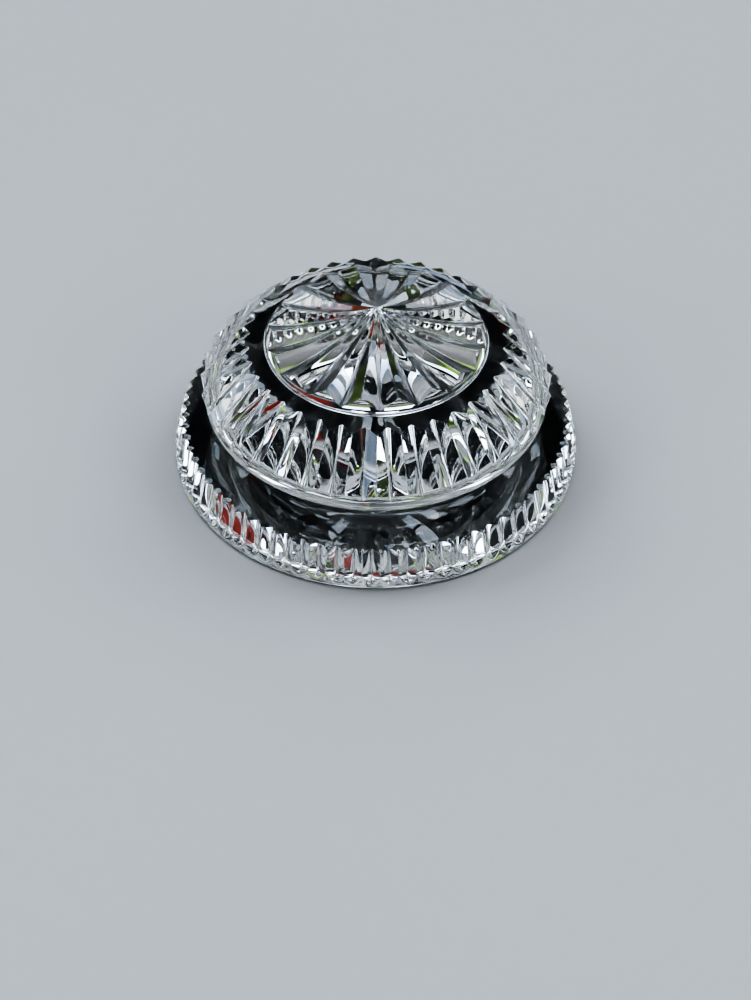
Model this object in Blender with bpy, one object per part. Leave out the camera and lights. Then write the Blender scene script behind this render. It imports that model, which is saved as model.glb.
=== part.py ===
"""Cut lead-crystal paperweight of the capstan form: one solid piece of clear glass.

The piece is a turned blank (flat polished base, low fluted plinth, smooth flange,
undercut waist, overhanging upper drum, raised star boss) into which three tiers of
V-shaped cuts are ground.  Every cut has the section of a V-edged wheel:

  * star    18 radial cuts that meet at the centre of the top
  * crown   36 flutes down the sloping side of the upper drum
  * plinth  72 short flutes round the wall of the base

Frame: metres, +Z up, origin at the centre of the flat base, axis of the turned
blank on Z.  "Front" is -Y.
"""
import bpy
import math
from mathutils import Vector

MM = 0.001

# ---------------------------------------------------------------- dimensions, mm
BASE_R = 45.0            # radius of the foot, the widest place
FOOT_ROUND = 0.9         # rounding between the flat base and the wall
FOOT_TOP_Z = 1.3         # plain foot band below the plinth flutes
WALL_TOP_R, WALL_TOP_Z = 43.30, 8.80    # top of the plinth wall
FLANGE_OUT_R, FLANGE_OUT_Z = 42.45, 9.42
FLANGE_IN_R, FLANGE_IN_Z = 33.40, 9.98
NECK_R, NECK_Z = 30.90, 12.60           # narrowest place of the waist
UNDER_IN_R, UNDER_IN_Z = 33.60, 15.05   # underside of the drum
NOSE_C_R, NOSE_C_Z, NOSE_ROUND = 36.00, 16.90, 1.60   # rounded lip of the drum
LIP_FOOT_R, LIP_FOOT_Z = 37.60, 18.70   # from here the lip flares out to the ridges
LIP_TOP_R, LIP_TOP_Z = 38.36, 20.45     # where the crown ridges start
BAND_OUT_R, BAND_OUT_Z = 29.40, 29.68   # where the crown ridges end
BAND_MID_R, BAND_MID_Z = 27.30, 30.17
RING_FOOT_R, RING_FOOT_Z = 24.16, 30.42  # foot of the small step round the boss
RING_TOP_R, RING_TOP_Z = 24.02, 30.98    # rounded top edge of that step
LEDGE_R, LEDGE_Z = 23.72, 31.08          # foot of the boss shoulder
BOSS_R, BOSS_Z = 22.22, 33.90            # top of the boss shoulder
APEX_Z = 39.70                           # centre of the star, the highest point

STAR_CUTS = 18
STAR_TURN = 1.7          # degrees, first star cut from the front
STAR_HALF_V = 60.0       # half of the V angle of the wheel, degrees
STAR_WHEEL_R = 50.0      # the star cuts are dished by the wheel's own radius
STAR_END_R, STAR_END_Z = 23.50, 31.28

CROWN_CUTS = 36
CROWN_TURN = 5.0         # a ridge faces the front
CROWN_HALF_V = 65.0
CROWN_LOW_R, CROWN_LOW_Z = 37.62, 18.85   # line of the bottom of the cut
CROWN_TOP_R, CROWN_TOP_Z = 27.20, 30.19

PLINTH_CUTS = 72
PLINTH_TURN = 3.6
PLINTH_HALF_V = 60.0
PLINTH_DEPTH = 1.15      # depth of the cut below the plinth wall
PLINTH_RUNOUT_Z = 3.90   # below this height the cut curves out to the foot
PLINTH_RUNOUT_R = 3.2    # radius of that curve


# ---------------------------------------------------------------- profile helpers
def arc(cr, cz, radius, a0, a1, steps):
    """Points on a circle in the (radius, height) plane, angles in degrees."""
    out = []
    for i in range(steps + 1):
        a = math.radians(a0 + (a1 - a0) * i / steps)
        out.append((cr + radius * math.cos(a), cz + radius * math.sin(a)))
    return out


def bezier(p0, p1, p2, steps):
    """Quadratic curve from p0 to p2, pulled towards p1."""
    out = []
    for i in range(steps + 1):
        t = i / steps
        u = 1.0 - t
        out.append((u * u * p0[0] + 2 * u * t * p1[0] + t * t * p2[0],
                    u * u * p0[1] + 2 * u * t * p1[1] + t * t * p2[1]))
    return out


def unit(x, z):
    n = math.hypot(x, z)
    return x / n, z / n


# ---------------------------------------------------------------- the three cuts
# Each cut is a function of (r, z, off): positive where the wheel takes glass away.
# "off" is the angle from the middle plane of the cut, in radians.
def vee_height(r, off, half_v):
    """How far the V has opened outwards at this distance from its middle plane."""
    return r * abs(math.sin(off)) / math.tan(math.radians(half_v))


def wheel_centre(p, q, radius):
    """Centre, on the outer side, of the wheel that dishes the cut from p to q."""
    mx, mz = (p[0] + q[0]) / 2, (p[1] + q[1]) / 2
    ux, uz = unit(q[0] - p[0], q[1] - p[1])
    half = math.hypot(q[0] - p[0], q[1] - p[1]) / 2
    rise = math.sqrt(radius * radius - half * half)
    nx, nz = -uz, ux
    if nz < 0:
        nx, nz = -nx, -nz
    return mx + nx * rise, mz + nz * rise


STAR_C = wheel_centre((0.0, APEX_Z), (STAR_END_R, STAR_END_Z), STAR_WHEEL_R)


def star_cut(r, z, off):
    d = STAR_WHEEL_R - math.hypot(r * math.cos(off) - STAR_C[0], z - STAR_C[1])
    return d - vee_height(r, off, STAR_HALF_V)


CROWN_U = unit(CROWN_TOP_R - CROWN_LOW_R, CROWN_TOP_Z - CROWN_LOW_Z)
CROWN_N = (CROWN_U[1], -CROWN_U[0])


def crown_cut(r, z, off):
    d = (CROWN_N[0] * (r * math.cos(off) - CROWN_LOW_R)
         + CROWN_N[1] * (z - CROWN_LOW_Z))
    return d - vee_height(r, off, CROWN_HALF_V)


PLINTH_U = unit(WALL_TOP_R - BASE_R, WALL_TOP_Z - FOOT_TOP_Z)
PLINTH_N = (PLINTH_U[1], -PLINTH_U[0])
PLINTH_P = (WALL_TOP_R - PLINTH_DEPTH * PLINTH_N[0]
            - (WALL_TOP_Z - PLINTH_RUNOUT_Z) * PLINTH_U[0] / PLINTH_U[1],
            PLINTH_RUNOUT_Z - PLINTH_DEPTH * PLINTH_N[1])
PLINTH_C = (PLINTH_P[0] + PLINTH_RUNOUT_R * PLINTH_N[0],
            PLINTH_P[1] + PLINTH_RUNOUT_R * PLINTH_N[1])


def plinth_cut(r, z, off):
    x = r * math.cos(off)
    along = (x - PLINTH_P[0]) * PLINTH_U[0] + (z - PLINTH_P[1]) * PLINTH_U[1]
    if along >= 0.0:
        d = (x - PLINTH_P[0]) * PLINTH_N[0] + (z - PLINTH_P[1]) * PLINTH_N[1]
    else:
        d = PLINTH_RUNOUT_R - math.hypot(x - PLINTH_C[0], z - PLINTH_C[1])
    return d - vee_height(r, off, PLINTH_HALF_V)


def crossing(cut, off, line):
    """First point along a profile line where it passes into the cut."""
    prev = line[0]
    f_prev = cut(prev[0], prev[1], off)
    for cur in line[1:]:
        f_cur = cut(cur[0], cur[1], off)
        if f_prev <= 0.0 < f_cur:
            lo, hi = 0.0, 1.0
            for _ in range(40):
                mid = (lo + hi) / 2
                r = prev[0] + (cur[0] - prev[0]) * mid
                z = prev[1] + (cur[1] - prev[1]) * mid
                if cut(r, z, off) > 0.0:
                    hi = mid
                else:
                    lo = mid
            return (prev[0] + (cur[0] - prev[0]) * lo,
                    prev[1] + (cur[1] - prev[1]) * lo)
        prev, f_prev = cur, f_cur
    raise ValueError("profile line never meets the cut")


def settle(cut, off, r, z, nr, nz):
    """Slide a point along (nr, nz) on to the surface of the cut."""
    lo, hi = -4.0, 4.0
    for _ in range(48):
        mid = (lo + hi) / 2
        if cut(r + nr * mid, z + nz * mid, off) > 0.0:
            hi = mid
        else:
            lo = mid
    return r + nr * lo, z + nz * lo


# ---------------------------------------------------------------- blank surfaces
# Plain lines of the turned blank on which the cuts start and end.
FOOT_LINE = ([(BASE_R, FOOT_TOP_Z - 0.35)]
             + [(BASE_R + (WALL_TOP_R - BASE_R) * t / 40.0,
                 FOOT_TOP_Z + (WALL_TOP_Z - FOOT_TOP_Z) * t / 40.0) for t in range(41)])
SHOULDER_LINE = ([(41.0, 9.50)]
                 + bezier((FLANGE_OUT_R, FLANGE_OUT_Z), (43.10, 9.36),
                          (WALL_TOP_R, WALL_TOP_Z), 12)
                 + [(WALL_TOP_R + 0.2, WALL_TOP_Z - 0.9)])
LIP_LINE = ([(NOSE_C_R + NOSE_ROUND, NOSE_C_Z)]
            + bezier((LIP_FOOT_R, LIP_FOOT_Z - 0.5), (LIP_FOOT_R, LIP_FOOT_Z + 0.2),
                     (LIP_TOP_R, LIP_TOP_Z), 12)
            + [(LIP_TOP_R + 0.3, LIP_TOP_Z + 0.8)])
BAND_LINE = ([(26.0, 30.32), (BAND_MID_R, BAND_MID_Z)]
             + bezier((BAND_MID_R, BAND_MID_Z), (28.5, 30.02),
                      (BAND_OUT_R, BAND_OUT_Z), 8)[1:]
             + [(30.6, 29.1), (31.4, 28.6)])
BOSS_LINE = [(LEDGE_R, LEDGE_Z), (BOSS_R, BOSS_Z), (BOSS_R - 0.25, BOSS_Z + 0.8)]

FOOT_LOOPS = arc(BASE_R - FOOT_ROUND, FOOT_ROUND, FOOT_ROUND, -90, 0, 4)
FLANGE_LOOPS = [(41.0, 9.50)]
WAIST_LOOPS = ([(37.0, 9.74)]
               + bezier((FLANGE_IN_R, FLANGE_IN_Z), (NECK_R, FLANGE_IN_Z + 0.25),
                        (NECK_R, NECK_Z), 5)
               + bezier((NECK_R, NECK_Z), (NECK_R, UNDER_IN_Z - 0.55),
                        (UNDER_IN_R, UNDER_IN_Z), 5)[1:]
               + arc(NOSE_C_R, NOSE_C_Z, NOSE_ROUND, -90, 0, 5)
               + [(LIP_FOOT_R, LIP_FOOT_Z - 0.5)])
BOSS_LOOPS = ([(26.0, 30.32), (RING_FOOT_R + 0.30, RING_FOOT_Z)]
              + [(RING_FOOT_R - 0.06, RING_FOOT_Z + 0.17)]
              + arc(RING_TOP_R - 0.11, RING_TOP_Z - 0.11, 0.12, 12, 84, 3)
              + [(LEDGE_R + 0.10, LEDGE_Z - 0.04), (LEDGE_R, LEDGE_Z)])

# ---------------------------------------------------------------- columns
# A ring of vertices stands on evenly spaced azimuths.  Cut tiers use columns that
# fall exactly on the bottoms and the ridges of their own cuts.
def columns(cuts, turn, per_half):
    """(azimuth, angle from the nearest cut) for one full turn, in radians."""
    n = cuts * 2 * per_half
    half = math.pi / cuts
    out = []
    for i in range(n):
        k = i % (2 * per_half)
        off = half * k / per_half
        if k > per_half:
            off = 2 * half - off
        out.append((math.radians(-90.0 + turn) + 2 * math.pi * i / n, off))
    return out


def ring(points_or_fn, cols):
    """World points of one ring; a fixed (r, z) or a function of the cut angle."""
    out = []
    for az, off in cols:
        r, z = points_or_fn(off) if callable(points_or_fn) else points_or_fn
        out.append((r * math.cos(az) * MM, r * math.sin(az) * MM, z * MM))
    return out


def zip_rings(faces, a, b, az_a, az_b):
    """Band of faces between two rings that turn the same way.

    a is the lower or outer ring; both are lists of vertex numbers with the
    azimuth of their first vertex.  Equal counts give quads, others triangles.
    """
    na, nb = len(a), len(b)
    if na == nb:
        shift = round((az_a - az_b) / (2 * math.pi / na))
        for i in range(na):
            j = (i + shift) % nb
            faces.append((a[i], a[(i + 1) % na], b[(j + 1) % nb], b[j]))
        return
    step_a, step_b = 2 * math.pi / na, 2 * math.pi / nb
    j0 = round((az_a - az_b) / step_b)
    lag = az_b + j0 * step_b - az_a
    i = j = 0
    while i < na or j < nb:
        next_a = (i + 1) * step_a if i < na else 1e9
        next_b = lag + (j + 1) * step_b if j < nb else 1e9
        if next_a <= next_b:
            faces.append((a[i % na], a[(i + 1) % na], b[(j + j0) % nb]))
            i += 1
        else:
            faces.append((a[i % na], b[(j + 1 + j0) % nb], b[(j + j0) % nb]))
            j += 1


# ---------------------------------------------------------------- the body
def crystal_mesh():
    plinth = columns(PLINTH_CUTS, PLINTH_TURN, 1)
    crown = columns(CROWN_CUTS, CROWN_TURN, 1)
    star = columns(STAR_CUTS, STAR_TURN, 2)

    rings = []       # (points, azimuth of the first one), from the base upwards

    def add(fn, cols):
        rings.append((ring(fn, cols), cols[0][0]))

    # foot
    for p in FOOT_LOOPS:
        add(p, plinth)
    # plinth flutes: start curve, run-out, straight part, end curve
    low = {o: crossing(plinth_cut, o, FOOT_LINE) for o in {c[1] for c in plinth}}
    top = {o: crossing(plinth_cut, o, SHOULDER_LINE) for o in {c[1] for c in plinth}}

    def plinth_at(t):
        def fn(off):
            p, q = low[off], top[off]
            r, z = p[0] + (q[0] - p[0]) * t, p[1] + (q[1] - p[1]) * t
            return settle(plinth_cut, off, r, z, PLINTH_N[0], PLINTH_N[1])
        return fn
    add(lambda off: low[off], plinth)
    for t in (0.14, 0.34):
        add(plinth_at(t), plinth)
    add(lambda off: top[off], plinth)
    # flange, waist, underside and lip
    for p in FLANGE_LOOPS:
        add(p, plinth)
    for p in WAIST_LOOPS:
        add(p, crown)
    # crown flutes
    add(lambda off: crossing(crown_cut, off, LIP_LINE), crown)
    add(lambda off: crossing(crown_cut, off, BAND_LINE), crown)
    # band, ring step and shoulder of the boss
    add(BOSS_LOOPS[0], crown)
    for p in BOSS_LOOPS[1:]:
        add(p, star)
    # star
    ends = {o: crossing(star_cut, o, BOSS_LINE) for o in {c[1] for c in star}}

    def star_at(t):
        def fn(off):
            r = ends[off][0] * t
            return settle(star_cut, off, r, APEX_Z - 0.3 * r, 0.0, 1.0)
        return fn
    for t in (1.0, 0.78, 0.56, 0.34, 0.15):
        add(star_at(t) if t < 1.0 else (lambda off: ends[off]), star)

    verts, index = [], []
    for pts, _ in rings:
        index.append(list(range(len(verts), len(verts) + len(pts))))
        verts.extend(pts)
    faces = [tuple(reversed(index[0]))]
    for k in range(len(rings) - 1):
        zip_rings(faces, index[k], index[k + 1], rings[k][1], rings[k + 1][1])
    apex = len(verts)
    verts.append((0.0, 0.0, APEX_Z * MM))
    last = index[-1]
    for i in range(len(last)):
        faces.append((last[i], last[(i + 1) % len(last)], apex))

    mesh = bpy.data.meshes.new("crystal_body")
    mesh.from_pydata([Vector(v) for v in verts], [], faces)
    mesh.validate()
    mesh.update()
    return mesh


def crystal_material():
    mat = bpy.data.materials.new("clear_lead_crystal")
    mat.use_nodes = True
    bsdf = mat.node_tree.nodes["Principled BSDF"]
    bsdf.inputs["Base Color"].default_value = (0.97, 0.985, 0.98, 1.0)
    bsdf.inputs["Roughness"].default_value = 0.02
    bsdf.inputs["Metallic"].default_value = 0.0
    bsdf.inputs["IOR"].default_value = 1.55
    bsdf.inputs["Transmission Weight"].default_value = 1.0
    return mat


def main():
    for obj in list(bpy.data.objects):
        bpy.data.objects.remove(obj, do_unlink=True)
    mesh = crystal_mesh()
    mesh.materials.append(crystal_material())
    body = bpy.data.objects.new("crystal_body", mesh)
    bpy.context.scene.collection.objects.link(body)
    mesh.shade_smooth()
    mesh.set_sharp_from_angle(angle=math.radians(14.0))
    return body


main()
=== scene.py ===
import bpy
import math
from mathutils import Vector, Matrix


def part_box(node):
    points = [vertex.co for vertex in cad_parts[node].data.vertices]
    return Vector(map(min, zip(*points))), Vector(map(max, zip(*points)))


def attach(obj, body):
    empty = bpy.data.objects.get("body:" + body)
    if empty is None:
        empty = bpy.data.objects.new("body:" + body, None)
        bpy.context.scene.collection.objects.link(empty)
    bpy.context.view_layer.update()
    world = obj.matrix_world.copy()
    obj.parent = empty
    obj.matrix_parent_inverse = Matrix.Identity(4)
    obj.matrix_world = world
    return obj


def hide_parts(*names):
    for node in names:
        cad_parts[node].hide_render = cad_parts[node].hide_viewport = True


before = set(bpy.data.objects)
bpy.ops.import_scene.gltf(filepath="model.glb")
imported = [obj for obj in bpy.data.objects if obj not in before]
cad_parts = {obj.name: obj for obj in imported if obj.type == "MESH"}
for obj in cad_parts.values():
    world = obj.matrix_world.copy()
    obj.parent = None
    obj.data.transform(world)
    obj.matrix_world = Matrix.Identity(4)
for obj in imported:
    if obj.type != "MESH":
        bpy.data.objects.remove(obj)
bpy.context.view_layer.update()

cad_lo, cad_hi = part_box("crystal_body")
BASE_RADIUS = (cad_hi[0] - cad_lo[0]) / 2.0          # metres, from the CAD model
HEIGHT = cad_hi[2] - cad_lo[2]
K = BASE_RADIUS / 45.0                               # metres per profile unit (mm)
KZ = HEIGHT / 39.7

# =========================================================================
# The crystal: the same turned blank and wheel cuts as the CAD solid, with fine
# curves, softly broken edges and exact surface normals.
# =========================================================================
BASE_R = 44.99
FOOT_ROUND = 0.9
FOOT_TOP_Z = 1.3
WALL_TOP_R, WALL_TOP_Z = 43.30, 8.80
FLANGE_OUT_R, FLANGE_OUT_Z = 42.45, 9.42
FLANGE_IN_R, FLANGE_IN_Z = 33.40, 9.98
NECK_R, NECK_Z = 30.90, 12.60
UNDER_IN_R, UNDER_IN_Z = 33.60, 15.05
NOSE_C_R, NOSE_C_Z, NOSE_ROUND = 36.00, 16.90, 1.60
LIP_FOOT_R, LIP_FOOT_Z = 37.60, 18.70
LIP_TOP_R, LIP_TOP_Z = 38.36, 20.45
BAND_OUT_R, BAND_OUT_Z = 29.40, 29.68
BAND_MID_R, BAND_MID_Z = 27.30, 30.17
RING_FOOT_R, RING_FOOT_Z = 24.16, 30.42
RING_TOP_R, RING_TOP_Z = 24.02, 30.98
LEDGE_R, LEDGE_Z = 23.72, 31.08
BOSS_R, BOSS_Z = 22.22, 33.90
APEX_Z = 39.70

STAR_CUTS, STAR_TURN, STAR_HALF_V, STAR_WHEEL_R = 18, 1.7, 60.0, 50.0
STAR_END_R, STAR_END_Z = 23.50, 31.28
CROWN_CUTS, CROWN_TURN, CROWN_HALF_V = 36, 5.0, 65.0
CROWN_LOW_R, CROWN_LOW_Z = 37.62, 18.85
CROWN_TOP_R, CROWN_TOP_Z = 27.20, 30.19
PLINTH_CUTS, PLINTH_TURN, PLINTH_HALF_V = 72, 3.6, 60.0
PLINTH_DEPTH, PLINTH_RUNOUT_Z, PLINTH_RUNOUT_R = 1.15, 3.90, 3.2

# softened bottom of each V and softened ridge between two cuts, mm
SOFT = {"star": (0.26, 0.06), "crown": (0.22, 0.04), "plinth": (0.16, 0.04)}


def unit(x, z):
    n = math.hypot(x, z)
    return x / n, z / n


def arc(cr, cz, radius, a0, a1, steps):
    return [(cr + radius * math.cos(math.radians(a0 + (a1 - a0) * i / steps)),
             cz + radius * math.sin(math.radians(a0 + (a1 - a0) * i / steps)))
            for i in range(steps + 1)]


def bezier(p0, p1, p2, steps):
    out = []
    for i in range(steps + 1):
        t = i / steps
        u = 1.0 - t
        out.append((u * u * p0[0] + 2 * u * t * p1[0] + t * t * p2[0],
                    u * u * p0[1] + 2 * u * t * p1[1] + t * t * p2[1]))
    return out


def line(p, q, steps):
    return [(p[0] + (q[0] - p[0]) * i / steps, p[1] + (q[1] - p[1]) * i / steps)
            for i in range(steps + 1)]


def vee_height(r, off, half_v, half, soft):
    a, b = soft
    y = r * abs(math.sin(off))
    ymax = r * math.sin(half)
    a = min(a, 0.12 * ymax)
    b = min(b, 0.05 * ymax)
    y = ymax - math.sqrt((ymax - y) ** 2 + b * b)
    return math.sqrt(y * y + a * a) / math.tan(math.radians(half_v))


def wheel_centre(p, q, radius):
    mx, mz = (p[0] + q[0]) / 2, (p[1] + q[1]) / 2
    ux, uz = unit(q[0] - p[0], q[1] - p[1])
    half = math.hypot(q[0] - p[0], q[1] - p[1]) / 2
    rise = math.sqrt(radius * radius - half * half)
    nx, nz = -uz, ux
    if nz < 0:
        nx, nz = -nx, -nz
    return mx + nx * rise, mz + nz * rise


STAR_C = wheel_centre((0.0, APEX_Z), (STAR_END_R, STAR_END_Z), STAR_WHEEL_R)
STAR_H, CROWN_H, PLINTH_H = (math.pi / STAR_CUTS, math.pi / CROWN_CUTS,
                             math.pi / PLINTH_CUTS)


def star_cut(r, z, off):
    d = STAR_WHEEL_R - math.hypot(r * math.cos(off) - STAR_C[0], z - STAR_C[1])
    return d - vee_height(r, off, STAR_HALF_V, STAR_H, SOFT["star"])


CROWN_U = unit(CROWN_TOP_R - CROWN_LOW_R, CROWN_TOP_Z - CROWN_LOW_Z)
CROWN_N = (CROWN_U[1], -CROWN_U[0])


def crown_cut(r, z, off):
    d = ((r * math.cos(off) - CROWN_LOW_R) * CROWN_N[0]
         + (z - CROWN_LOW_Z) * CROWN_N[1])
    return d - vee_height(r, off, CROWN_HALF_V, CROWN_H, SOFT["crown"])


PLINTH_U = unit(WALL_TOP_R - BASE_R, WALL_TOP_Z - FOOT_TOP_Z)
PLINTH_N = (PLINTH_U[1], -PLINTH_U[0])
PLINTH_P = (WALL_TOP_R - PLINTH_DEPTH * PLINTH_N[0]
            - (WALL_TOP_Z - PLINTH_RUNOUT_Z) * PLINTH_U[0] / PLINTH_U[1],
            PLINTH_RUNOUT_Z - PLINTH_DEPTH * PLINTH_N[1])
PLINTH_C = (PLINTH_P[0] + PLINTH_RUNOUT_R * PLINTH_N[0],
            PLINTH_P[1] + PLINTH_RUNOUT_R * PLINTH_N[1])


def plinth_cut(r, z, off):
    x = r * math.cos(off)
    along = (x - PLINTH_P[0]) * PLINTH_U[0] + (z - PLINTH_P[1]) * PLINTH_U[1]
    if along >= 0.0:
        d = (x - PLINTH_P[0]) * PLINTH_N[0] + (z - PLINTH_P[1]) * PLINTH_N[1]
    else:
        d = PLINTH_RUNOUT_R - math.hypot(x - PLINTH_C[0], z - PLINTH_C[1])
    return d - vee_height(r, off, PLINTH_HALF_V, PLINTH_H, SOFT["plinth"])


def crossing(cut, off, pts):
    """Where a line of the blank passes into a cut: the point and the line's direction."""
    prev = pts[0]
    f_prev = cut(prev[0], prev[1], off)
    for cur in pts[1:]:
        f_cur = cut(cur[0], cur[1], off)
        if f_prev <= 0.0 < f_cur:
            lo, hi = 0.0, 1.0
            for _ in range(44):
                mid = (lo + hi) / 2
                if cut(prev[0] + (cur[0] - prev[0]) * mid,
                       prev[1] + (cur[1] - prev[1]) * mid, off) > 0.0:
                    hi = mid
                else:
                    lo = mid
            p = (prev[0] + (cur[0] - prev[0]) * lo, prev[1] + (cur[1] - prev[1]) * lo)
            return p, unit(cur[0] - prev[0], cur[1] - prev[1])
        prev, f_prev = cur, f_cur
    raise ValueError("line never meets the cut")


def settle(cut, off, r, z, nr, nz):
    lo, hi = -4.0, 4.0
    for _ in range(50):
        mid = (lo + hi) / 2
        if cut(r + nr * mid, z + nz * mid, off) > 0.0:
            hi = mid
        else:
            lo = mid
    return r + nr * lo, z + nz * lo


def cut_normal(cut, r, z, off):
    """Outward normal (radial, tangential, up) of a cut surface; off >= 0."""
    e = 2e-4
    rr = max(r, 0.02)
    fr = (cut(rr + e, z, off) - cut(rr - e, z, off)) / (2 * e)
    fz = (cut(rr, z + e, off) - cut(rr, z - e, off)) / (2 * e)
    de = e / rr
    ft = (cut(rr, z, off + de) - cut(rr, z, abs(off - de))) / (2 * e)
    n = math.sqrt(fr * fr + ft * ft + fz * fz) or 1.0
    return fr / n, ft / n, fz / n


# lines of the blank on which cuts start and end, walking towards the cut
FOOT_LINE = [(BASE_R, FOOT_TOP_Z - 0.35)] + line(
    (BASE_R, FOOT_TOP_Z), (WALL_TOP_R, WALL_TOP_Z), 120)
SHOULDER_LINE = ([(41.0, 9.50)]
                 + bezier((FLANGE_OUT_R, FLANGE_OUT_Z), (43.10, 9.36),
                          (WALL_TOP_R, WALL_TOP_Z), 40)
                 + [(WALL_TOP_R + 0.2, WALL_TOP_Z - 0.9)])
LIP_LINE = ([(NOSE_C_R + NOSE_ROUND, NOSE_C_Z)]
            + bezier((LIP_FOOT_R, LIP_FOOT_Z - 0.5), (LIP_FOOT_R, LIP_FOOT_Z + 0.2),
                     (LIP_TOP_R, LIP_TOP_Z), 24)
            + [(LIP_TOP_R + 0.3, LIP_TOP_Z + 0.8)])
BAND_LINE = ([(26.0, 30.32), (BAND_MID_R, BAND_MID_Z)]
             + bezier((BAND_MID_R, BAND_MID_Z), (28.5, 30.02),
                      (BAND_OUT_R, BAND_OUT_Z), 30)[1:]
             + [(30.6, 29.1), (31.4, 28.6)])
BOSS_LINE = [(LEDGE_R, LEDGE_Z), (BOSS_R, BOSS_Z), (BOSS_R - 0.25, BOSS_Z + 0.8)]


def fractions(count, near_cut, near_ridge):
    """Column places across half a cut: crowded at its bottom and at its ridge."""
    mid = [0.02 + 0.96 * i / count for i in range(count + 1)]
    return sorted(set([0.0, 1.0] + near_cut + mid[1:-1] + near_ridge))


STAR_F = fractions(7, [0.008, 0.02, 0.04, 0.075], [0.955, 0.98, 0.992])
CROWN_F = fractions(5, [0.015, 0.04, 0.08, 0.13], [0.94, 0.975, 0.99])
PLINTH_F = fractions(4, [0.03, 0.075, 0.14], [0.92, 0.97])


def columns(cuts, turn, fracs):
    """(azimuth, angle from the nearest cut, side) round one full turn."""
    half = math.pi / cuts
    out = []
    for c in range(cuts):
        mid = math.radians(-90.0 + turn) + 2 * half * c
        for f in fracs[:-1]:
            out.append((mid + f * half, f * half, 1.0))
        for f in reversed(fracs[1:]):
            out.append((mid + 2 * half - f * half, f * half, -1.0))
    return out


PLINTH_COLS = columns(PLINTH_CUTS, PLINTH_TURN, PLINTH_F)
CROWN_COLS = columns(CROWN_CUTS, CROWN_TURN, CROWN_F)
STAR_COLS = columns(STAR_CUTS, STAR_TURN, STAR_F)

verts, ring_of, ring_az = [], [], []
faces, face_normals = [], []        # face_normals: one normal per corner
ring_normals = []                   # per ring: {"below": [...], "above": [...]}


def place(az, r, z):
    return Vector((r * math.cos(az) * K, r * math.sin(az) * K, z * KZ))


def turn_normal(az, n):
    c, s = math.cos(az), math.sin(az)
    return (n[0] * c - n[1] * s, n[0] * s + n[1] * c, n[2])


def add_ring(cols, point, below, above):
    """point, below and above are functions of the angle from the nearest cut.

    below is the normal of the surface on the foot's side of this ring, above the
    normal on the star's side; each is (radial, tangential, up).
    """
    cache = {}
    idx, nb, na = [], [], []
    for az, off, side in cols:
        if off not in cache:
            cache[off] = (point(off), below(off), above(off))
        (r, z), b, a = cache[off]
        idx.append(len(verts))
        verts.append(place(az, r, z))
        nb.append(turn_normal(az, (b[0], b[1] * side, b[2])))
        na.append(turn_normal(az, (a[0], a[1] * side, a[2])))
    ring_of.append(idx)
    ring_az.append([c[0] for c in cols])
    ring_normals.append({"below": nb, "above": na})


def profile_normals(pts, first=None, last=None):
    """Outward normals of a line that climbs from the foot towards the star."""
    out = []
    for i in range(len(pts)):
        a = pts[max(i - 1, 0)]
        b = pts[min(i + 1, len(pts) - 1)]
        ux, uz = unit(b[0] - a[0], b[1] - a[1])
        out.append((uz, 0.0, -ux))
    if first:
        out[0] = first
    if last:
        out[-1] = last
    return out


def add_band(cols, pts, normals):
    for p, n in zip(pts, normals):
        add_ring(cols, lambda o, p=p: p, lambda o, n=n: n, lambda o, n=n: n)


def smooth_line(pts, per):
    """Rounded line through profile points, so that a band has no facets."""
    out = []
    n = len(pts)
    for i in range(n - 1):
        p0, p1 = pts[max(i - 1, 0)], pts[i]
        p2, p3 = pts[i + 1], pts[min(i + 2, n - 1)]
        for k in range(per):
            t = k / per
            out.append(tuple(
                0.5 * (2 * p1[j] + (p2[j] - p0[j]) * t
                       + (2 * p0[j] - 5 * p1[j] + 4 * p2[j] - p3[j]) * t * t
                       + (3 * p1[j] - p0[j] - 3 * p2[j] + p3[j]) * t ** 3)
                for j in (0, 1)))
    out.append(pts[-1])
    return out


# ---- foot: flat base, rounded edge, plain band
foot = arc(BASE_R - FOOT_ROUND, FOOT_ROUND, FOOT_ROUND, -90, 0, 12)
foot_n = [(math.cos(math.radians(-90 + 90 * i / 12)), 0.0,
           math.sin(math.radians(-90 + 90 * i / 12))) for i in range(13)]
add_band(PLINTH_COLS, foot, foot_n)

# ---- plinth flutes
low = {o: crossing(plinth_cut, o, FOOT_LINE) for o in {c[1] for c in PLINTH_COLS}}
top = {o: crossing(plinth_cut, o, SHOULDER_LINE) for o in {c[1] for c in PLINTH_COLS}}
wall_n = (PLINTH_N[0], 0.0, PLINTH_N[1])
add_ring(PLINTH_COLS, lambda o: low[o][0], lambda o: wall_n,
         lambda o: cut_normal(plinth_cut, low[o][0][0], low[o][0][1], o))


def plinth_point(t):
    def fn(o):
        p, q = low[o][0], top[o][0]
        return settle(plinth_cut, o, p[0] + (q[0] - p[0]) * t, p[1] + (q[1] - p[1]) * t,
                      PLINTH_N[0], PLINTH_N[1])
    return fn


for t in (0.03, 0.07, 0.12, 0.18, 0.25, 0.32, 0.40, 0.6, 0.8):
    fn = plinth_point(t)
    nn = (lambda o, fn=fn: cut_normal(plinth_cut, *fn(o), o))
    add_ring(PLINTH_COLS, fn, nn, nn)
add_ring(PLINTH_COLS, lambda o: top[o][0],
         lambda o: cut_normal(plinth_cut, top[o][0][0], top[o][0][1], o),
         lambda o: (-top[o][1][1], 0.0, top[o][1][0]))

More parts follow.
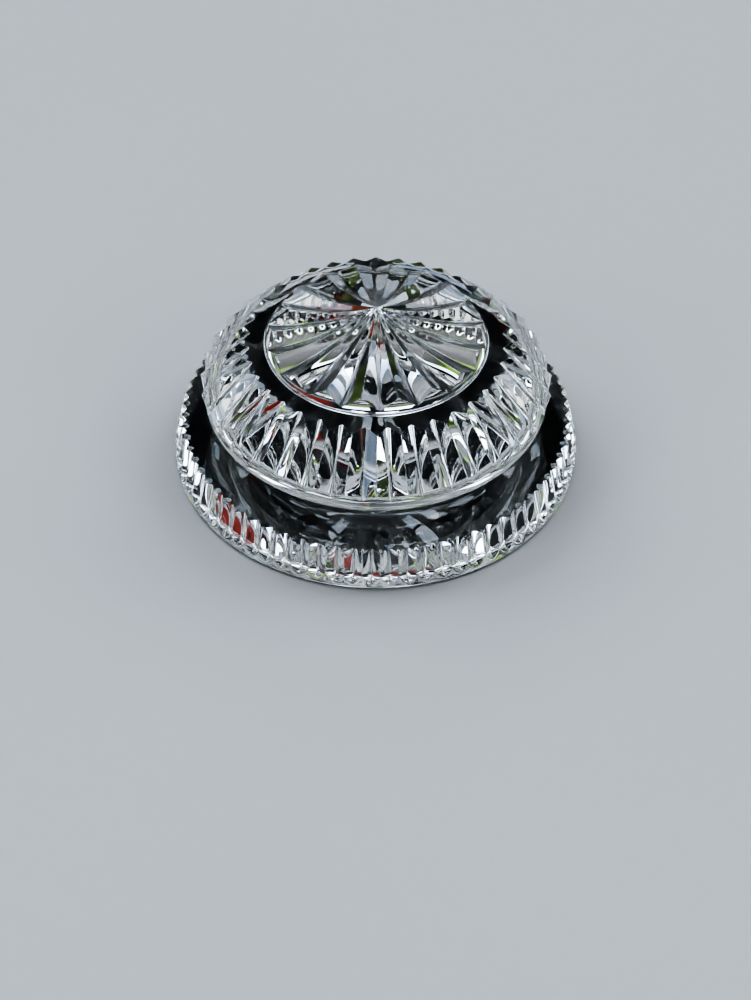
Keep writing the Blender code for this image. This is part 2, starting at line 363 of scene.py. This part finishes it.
# ---- flange, waist, underside and rounded lip
waist = ([(41.0, 9.50), (39.0, 9.62), (37.0, 9.74), (35.2, 9.86)]
         + bezier((FLANGE_IN_R, FLANGE_IN_Z), (NECK_R, FLANGE_IN_Z + 0.25),
                  (NECK_R, NECK_Z), 14)
         + bezier((NECK_R, NECK_Z), (NECK_R, UNDER_IN_Z - 0.55),
                  (UNDER_IN_R, UNDER_IN_Z), 14)[1:]
         + [(34.8, 15.24)]
         + arc(NOSE_C_R, NOSE_C_Z, NOSE_ROUND, -90, 0, 16)
         + [(LIP_FOOT_R, LIP_FOOT_Z - 0.5)])
waist_n = profile_normals(waist, last=(1.0, 0.0, 0.0))
for i in (0, 1, 2):
    add_ring(PLINTH_COLS if i == 0 else CROWN_COLS, lambda o, i=i: waist[i],
             lambda o, i=i: waist_n[i], lambda o, i=i: waist_n[i])
add_band(CROWN_COLS, waist[3:], waist_n[3:])

# ---- crown flutes
lip = {o: crossing(crown_cut, o, LIP_LINE) for o in {c[1] for c in CROWN_COLS}}
brow = {o: crossing(crown_cut, o, BAND_LINE) for o in {c[1] for c in CROWN_COLS}}
add_ring(CROWN_COLS, lambda o: lip[o][0], lambda o: (lip[o][1][1], 0.0, -lip[o][1][0]),
         lambda o: cut_normal(crown_cut, lip[o][0][0], lip[o][0][1], o))
for t in (0.33, 0.66):
    fn = (lambda o, t=t: settle(
        crown_cut, o, lip[o][0][0] + (brow[o][0][0] - lip[o][0][0]) * t,
        lip[o][0][1] + (brow[o][0][1] - lip[o][0][1]) * t, CROWN_N[0], CROWN_N[1]))
    nn = (lambda o, fn=fn: cut_normal(crown_cut, *fn(o), o))
    add_ring(CROWN_COLS, fn, nn, nn)
add_ring(CROWN_COLS, lambda o: brow[o][0],
         lambda o: cut_normal(crown_cut, brow[o][0][0], brow[o][0][1], o),
         lambda o: (-brow[o][1][1], 0.0, brow[o][1][0]))

# ---- plain band, ring step, ledge
step = smooth_line([(26.4, 30.27), (25.6, 30.35), (RING_FOOT_R + 0.30, RING_FOOT_Z),
                    (RING_FOOT_R + 0.06, RING_FOOT_Z + 0.05),
                    (RING_FOOT_R - 0.05, RING_FOOT_Z + 0.22)]
                   + arc(RING_TOP_R - 0.11, RING_TOP_Z - 0.11, 0.12, 10, 80, 5)
                   + [(LEDGE_R + 0.12, LEDGE_Z - 0.045), (LEDGE_R + 0.04, LEDGE_Z + 0.005)], 3)
step_n = profile_normals(step)
add_ring(CROWN_COLS, lambda o: step[0], lambda o: step_n[0], lambda o: step_n[0])
add_band(STAR_COLS, step[1:], step_n[1:])
boss_u = unit(BOSS_R - LEDGE_R, BOSS_Z - LEDGE_Z)
boss_n = (boss_u[1], 0.0, -boss_u[0])
add_ring(STAR_COLS, lambda o: (LEDGE_R, LEDGE_Z + 0.06), lambda o: step_n[-1],
         lambda o: boss_n)

# ---- star
ends = {o: crossing(star_cut, o, BOSS_LINE) for o in {c[1] for c in STAR_COLS}}
add_ring(STAR_COLS, lambda o: ends[o][0], lambda o: boss_n,
         lambda o: cut_normal(star_cut, ends[o][0][0], ends[o][0][1], o))
for t in (0.94, 0.88, 0.82, 0.76, 0.70, 0.64, 0.58, 0.52, 0.46, 0.40, 0.34, 0.28,
          0.23, 0.18, 0.135, 0.10, 0.07, 0.045, 0.025, 0.010):
    fn = (lambda o, t=t: settle(star_cut, o, ends[o][0][0] * t,
                                APEX_Z - 0.3 * ends[o][0][0] * t, 0.0, 1.0))
    nn = (lambda o, fn=fn: cut_normal(star_cut, *fn(o), o))
    add_ring(STAR_COLS, fn, nn, nn)


# ---- faces, with the right normal at each corner
def bridge(i):
    a, b = ring_of[i], ring_of[i + 1]
    za, zb = ring_az[i], ring_az[i + 1]
    na_, nb_ = ring_normals[i]["above"], ring_normals[i + 1]["below"]
    la, lb = len(a), len(b)
    if za is zb or (la == lb and max(abs(p - q) for p, q in zip(za, zb)) < 1e-9):
        for k in range(la):
            m = (k + 1) % la
            faces.append((a[k], a[m], b[m], b[k]))
            face_normals.append((na_[k], na_[m], nb_[m], nb_[k]))
        return
    turn = 2 * math.pi
    j0 = min(range(lb), key=lambda j: abs(math.remainder(zb[j] - za[0], turn)))
    start_b = za[0] + math.remainder(zb[j0] - za[0], turn)

    def az_a(k):
        return za[k % la] + turn * (k // la)

    def az_b(k):
        j = j0 + k
        return start_b + (zb[j % lb] + turn * (j // lb) - zb[j0])
    p = q = 0
    while p < la or q < lb:
        if q >= lb or (p < la and az_a(p + 1) <= az_b(q + 1)):
            k, m, j = p % la, (p + 1) % la, (q + j0) % lb
            faces.append((a[k], a[m], b[j]))
            face_normals.append((na_[k], na_[m], nb_[j]))
            p += 1
        else:
            k, j, m = p % la, (q + j0) % lb, (q + 1 + j0) % lb
            faces.append((a[k], b[m], b[j]))
            face_normals.append((na_[k], nb_[m], nb_[j]))
            q += 1


faces.append(tuple(reversed(ring_of[0])))
face_normals.append(tuple((0.0, 0.0, -1.0) for _ in ring_of[0]))
for i in range(len(ring_of) - 1):
    bridge(i)
apex = len(verts)
verts.append(Vector((0.0, 0.0, APEX_Z * KZ)))
last, last_n = ring_of[-1], ring_normals[-1]["above"]
for k in range(len(last)):
    m = (k + 1) % len(last)
    faces.append((last[k], last[m], apex))
    mid = Vector(last_n[k]) + Vector(last_n[m])
    face_normals.append((last_n[k], last_n[m], tuple(mid.normalized())))

mesh = bpy.data.meshes.new("cut_crystal")
mesh.from_pydata(verts, [], faces)
mesh.update()
mesh.shade_smooth()
mesh.normals_split_custom_set([n for f in face_normals for n in f])
crystal = bpy.data.objects.new("cut_crystal", mesh)
bpy.context.scene.collection.objects.link(crystal)


# =========================================================================
# Materials
# =========================================================================
def crystal_material():
    mat = bpy.data.materials.new("clear_lead_crystal")
    mat.use_nodes = True
    nt = mat.node_tree
    bsdf = nt.nodes["Principled BSDF"]
    bsdf.inputs["Base Color"].default_value = (0.985, 0.992, 0.988, 1.0)
    bsdf.inputs["Roughness"].default_value = 0.0
    bsdf.inputs["IOR"].default_value = 1.55
    bsdf.inputs["Transmission Weight"].default_value = 1.0
    tex = nt.nodes.new("ShaderNodeTexCoord")
    # faint haze left by polishing, in drifting patches
    haze = nt.nodes.new("ShaderNodeTexNoise")
    haze.inputs["Scale"].default_value = 60.0
    haze.inputs["Detail"].default_value = 3.0
    nt.links.new(tex.outputs["Object"], haze.inputs["Vector"])
    span = nt.nodes.new("ShaderNodeMapRange")
    span.inputs["From Min"].default_value = 0.45
    span.inputs["From Max"].default_value = 0.75
    span.inputs["To Min"].default_value = 0.0
    span.inputs["To Max"].default_value = 0.008
    nt.links.new(haze.outputs["Fac"], span.inputs["Value"])
    nt.links.new(span.outputs["Result"], bsdf.inputs["Roughness"])
    # very shallow waviness of the hand-polished surfaces
    wave = nt.nodes.new("ShaderNodeTexNoise")
    wave.inputs["Scale"].default_value = 140.0
    wave.inputs["Detail"].default_value = 1.0
    nt.links.new(tex.outputs["Object"], wave.inputs["Vector"])
    bump = nt.nodes.new("ShaderNodeBump")
    bump.inputs["Strength"].default_value = 0.06
    bump.inputs["Distance"].default_value = 0.00012
    nt.links.new(wave.outputs["Fac"], bump.inputs["Height"])
    nt.links.new(bump.outputs["Normal"], bsdf.inputs["Normal"])
    return mat


mesh.materials.append(crystal_material())
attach(crystal, "root")
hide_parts("crystal_body")


def floor_material():
    mat = bpy.data.materials.new("pale_floor")
    mat.use_nodes = True
    nt = mat.node_tree
    bsdf = nt.nodes["Principled BSDF"]
    bsdf.inputs["Roughness"].default_value = 0.75
    tex = nt.nodes.new("ShaderNodeTexCoord")
    noise = nt.nodes.new("ShaderNodeTexNoise")
    noise.inputs["Scale"].default_value = 5.0
    nt.links.new(tex.outputs["Object"], noise.inputs["Vector"])
    ramp = nt.nodes.new("ShaderNodeValToRGB")
    ramp.color_ramp.elements[0].color = (0.60, 0.60, 0.60, 1.0)
    ramp.color_ramp.elements[1].color = (0.64, 0.64, 0.635, 1.0)
    nt.links.new(noise.outputs["Fac"], ramp.inputs["Fac"])
    nt.links.new(ramp.outputs["Color"], bsdf.inputs["Base Color"])
    return mat


# =========================================================================
# Stage: pale floor, soft light, and windows in the world's light
# =========================================================================
floor_mesh = bpy.data.meshes.new("floor")
floor_mesh.from_pydata([(-3, -3, -0.0002), (3, -3, -0.0002), (3, 3, -0.0002),
                        (-3, 3, -0.0002)], [], [(0, 1, 2, 3)])
floor = bpy.data.objects.new("floor", floor_mesh)
floor_mesh.materials.append(floor_material())
bpy.context.scene.collection.objects.link(floor)

# A dim studio with tall soft windows.  The glass shows them in its facets: pale sky
# above, mottled green below, thin dark glazing bars, and a small warm card.
world = bpy.data.worlds.new("studio")
bpy.context.scene.world = world
world.use_nodes = True
wt = world.node_tree
bg = wt.nodes["Background"]


def w_math(op, a, b=None, c=None):
    node = wt.nodes.new("ShaderNodeMath")
    node.operation = op
    for i, v in enumerate((a, b, c)):
        if v is None:
            continue
        if isinstance(v, (int, float)):
            node.inputs[i].default_value = v
        else:
            wt.links.new(v, node.inputs[i])
    return node.outputs[0]


def w_mix(fac, col_a, col_b):
    node = wt.nodes.new("ShaderNodeMix")
    node.data_type = "RGBA"
    wt.links.new(fac, node.inputs["Factor"])
    for sock, v in ((node.inputs["A"], col_a), (node.inputs["B"], col_b)):
        if isinstance(v, tuple):
            sock.default_value = v
        else:
            wt.links.new(v, sock)
    return node.outputs["Result"]


w_tex = wt.nodes.new("ShaderNodeTexCoord")
w_sep = wt.nodes.new("ShaderNodeSeparateXYZ")
wt.links.new(w_tex.outputs["Generated"], w_sep.inputs[0])
azim = w_math("MULTIPLY", w_math("ARCTAN2", w_sep.outputs["X"], w_sep.outputs["Y"]), 57.29578)
elev = w_math("MULTIPLY", w_math("ARCSINE", w_sep.outputs["Z"]), 57.29578)


def pane(az0, az1, el0, el1):
    """1 inside a rectangle of the sky, 0 outside; degrees, azimuth 0 is +Y."""
    return w_math("MULTIPLY",
                  w_math("COMPARE", azim, (az0 + az1) / 2, (az1 - az0) / 2),
                  w_math("COMPARE", elev, (el0 + el1) / 2, (el1 - el0) / 2))


leaf = wt.nodes.new("ShaderNodeTexNoise")
leaf.inputs["Scale"].default_value = 9.0
leaf.inputs["Detail"].default_value = 4.0
wt.links.new(w_tex.outputs["Generated"], leaf.inputs["Vector"])
green = wt.nodes.new("ShaderNodeValToRGB")
green.color_ramp.elements[0].position = 0.40
green.color_ramp.elements[0].color = (0.010, 0.030, 0.008, 1.0)
green.color_ramp.elements[1].position = 0.62
green.color_ramp.elements[1].color = (0.55, 0.90, 0.16, 1.0)
wt.links.new(leaf.outputs["Fac"], green.inputs["Fac"])
cloud = wt.nodes.new("ShaderNodeValToRGB")
cloud.color_ramp.elements[0].position = 0.35
cloud.color_ramp.elements[0].color = (2.2, 3.1, 4.6, 1.0)
cloud.color_ramp.elements[1].position = 0.60
cloud.color_ramp.elements[1].color = (5.6, 6.0, 6.2, 1.0)
wt.links.new(leaf.outputs["Fac"], cloud.inputs["Fac"])

color = (0.012, 0.014, 0.017, 1.0)
WINDOWS = (  # azimuth from, to, elevation from, top of the green, top
    (-78.0, -58.0, 14.0, 26.0, 56.0),
    (-48.0, -26.0, 14.0, 26.0, 60.0),
    (32.0, 50.0, 14.0, 26.0, 58.0),
    (58.0, 76.0, 14.0, 26.0, 54.0),
    (-10.0, -2.0, 13.0, 21.0, 31.0),
    (2.0, 10.0, 13.0, 21.0, 31.0),
    (-126.0, -110.0, 14.0, 22.0, 44.0),
    (112.0, 128.0, 14.0, 23.0, 42.0),
)
# a pale backdrop that fades upwards from the horizon
fade = wt.nodes.new("ShaderNodeMapRange")
fade.interpolation_type = "SMOOTHSTEP"
fade.inputs["From Min"].default_value = 1.0
fade.inputs["From Max"].default_value = 19.0
fade.inputs["To Min"].default_value = 0.0
fade.inputs["To Max"].default_value = 1.0
wt.links.new(elev, fade.inputs["Value"])
prev = w_mix(fade.outputs["Result"], (0.36, 0.375, 0.39, 1.0), color)
for az0, az1, el0, elg, el1 in WINDOWS:
    prev = w_mix(pane(az0, az1, el0, elg), prev, green.outputs["Color"])
    half_way = (elg + el1) / 2
    prev = w_mix(pane(az0, az1, elg + 0.3, half_way - 0.8), prev, cloud.outputs["Color"])
    prev = w_mix(pane(az0, az1, half_way + 0.8, el1), prev, cloud.outputs["Color"])
prev = w_mix(pane(13.0, 26.0, 14.0, 34.0), prev, (0.20, 0.024, 0.018, 1.0))
wt.links.new(prev, bg.inputs["Color"])
bg.inputs["Strength"].default_value = 1.0


def area(name, at, target, size, size_y, power, color):
    light = bpy.data.lights.new(name, "AREA")
    light.shape = "RECTANGLE"
    light.size, light.size_y = size, size_y
    light.energy = power
    light.color = color
    obj = bpy.data.objects.new(name, light)
    bpy.context.scene.collection.objects.link(obj)
    obj.location = at
    d = Vector(target) - Vector(at)
    obj.rotation_euler = d.to_track_quat("-Z", "Y").to_euler()
    return obj


C = (0.0, 0.0, 0.02)
area("soft_top", (0.0, -0.15, 1.3), C, 0.9, 0.9, 3.0, (1.0, 1.0, 1.0))

# =========================================================================
# Camera: the photograph's viewing angle
# =========================================================================
cam_data = bpy.data.cameras.new("camera")
cam_data.sensor_fit = "AUTO"
cam_data.sensor_width = 36.0
cam_data.lens = 79.2
cam_data.clip_start = 0.01
cam = bpy.data.objects.new("camera", cam_data)
bpy.context.scene.collection.objects.link(cam)
PITCH, ROLL, TURN = 0.785115, 0.005329, math.radians(-0.33)
rot = (Matrix.Rotation(TURN, 4, "Z")
       @ Matrix.Rotation(math.pi / 2 - PITCH, 4, "X")
       @ Matrix.Rotation(ROLL, 4, "Z"))
pos = Matrix.Rotation(TURN, 4, "Z") @ Vector((0.0, -0.35918, 0.34076))
cam.matrix_world = Matrix.Translation(pos) @ rot
bpy.context.scene.camera = cam

scene = bpy.context.scene
scene.cycles.max_bounces = 24
scene.cycles.transmission_bounces = 24
scene.cycles.glossy_bounces = 12
scene.cycles.diffuse_bounces = 3
scene.cycles.sample_clamp_indirect = 6.0
scene.cycles.caustics_refractive = False
scene.cycles.caustics_reflective = False
scene.view_settings.view_transform = "AgX"
scene.view_settings.look = "AgX - High Contrast"

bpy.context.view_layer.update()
